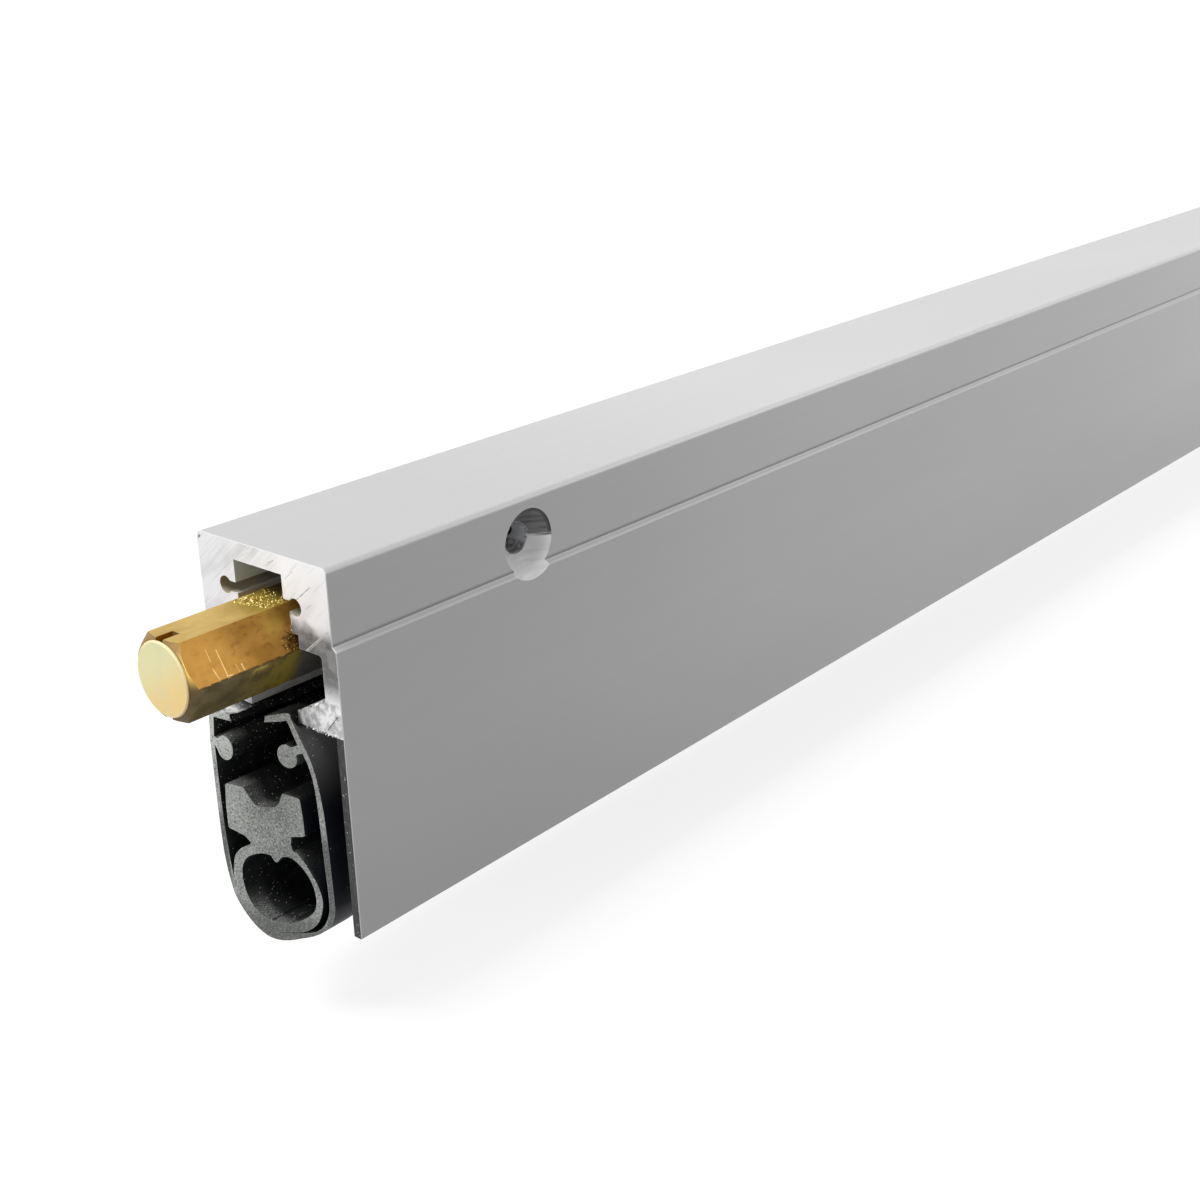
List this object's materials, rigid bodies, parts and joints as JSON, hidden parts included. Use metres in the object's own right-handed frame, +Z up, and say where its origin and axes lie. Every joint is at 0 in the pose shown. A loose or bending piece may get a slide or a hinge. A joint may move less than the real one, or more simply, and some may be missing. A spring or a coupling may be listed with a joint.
{
  "type": "automatic door bottom seal",
  "caption": "Aluminium door bottom seal: a sprung hexagonal brass plunger at one end pushes a rubber bulb seal down out of the housing.",
  "frame": {"origin": "on the back face, at mid-length, at the height of the fixing holes", "axes": "+X along the seal from the plunger end to the far end, +Y out of the back face towards the door, +Z up"},
  "size_m": [0.6223, 0.0195, 0.042],
  "materials": {
    "anodised_aluminium": "satin anodised, sawn ends bright",
    "mill_aluminium": "plain extruded",
    "brass": "drawn bar, lightly scratched",
    "cream_nylon": "smooth moulded",
    "black_nylon": "moulded",
    "black_rubber": "extruded, grey where it is sawn",
    "zinc_steel": "bright zinc",
    "spring_steel": "drawn wire"
  },
  "bodies": {
    "housing": {"housing": "anodised_aluminium", "plunger_guide": "black_nylon", "guide_frame_front": "black_nylon", "guide_frame_rear": "black_nylon", "guide_pins": "zinc_steel", "return_spring": "spring_steel"},
    "plunger": {"plunger_body": "brass", "plunger_tip": "cream_nylon", "plunger_lock_nut": "zinc_steel", "plunger_rod": "zinc_steel", "spring_collar": "zinc_steel", "connecting_rod": "zinc_steel", "cam_plate_front": "zinc_steel", "cam_plate_rear": "zinc_steel"},
    "seal_bar": {"drop_bar": "mill_aluminium", "seal": "black_rubber", "hanger_front": "zinc_steel", "hanger_rear": "zinc_steel", "cam_pin_front": "zinc_steel", "cam_pin_rear": "zinc_steel"}
  },
  "joints": [
    {"name": "plunger_slide", "type": "slide", "parent": "housing", "child": "plunger", "axis": [1, 0, 0], "range_m": [0, 0.01], "stiffness_N_per_m": 1200, "springref_m": -0.01, "deforming": ["return_spring"]},
    {"name": "seal_drop", "type": "slide", "parent": "housing", "child": "seal_bar", "axis": [0, 0, -1], "range_m": [0, 0.01]}
  ],
  "couplings": [
    {"joint": "seal_drop", "follows": "plunger_slide", "ratio": 1}
  ]
}
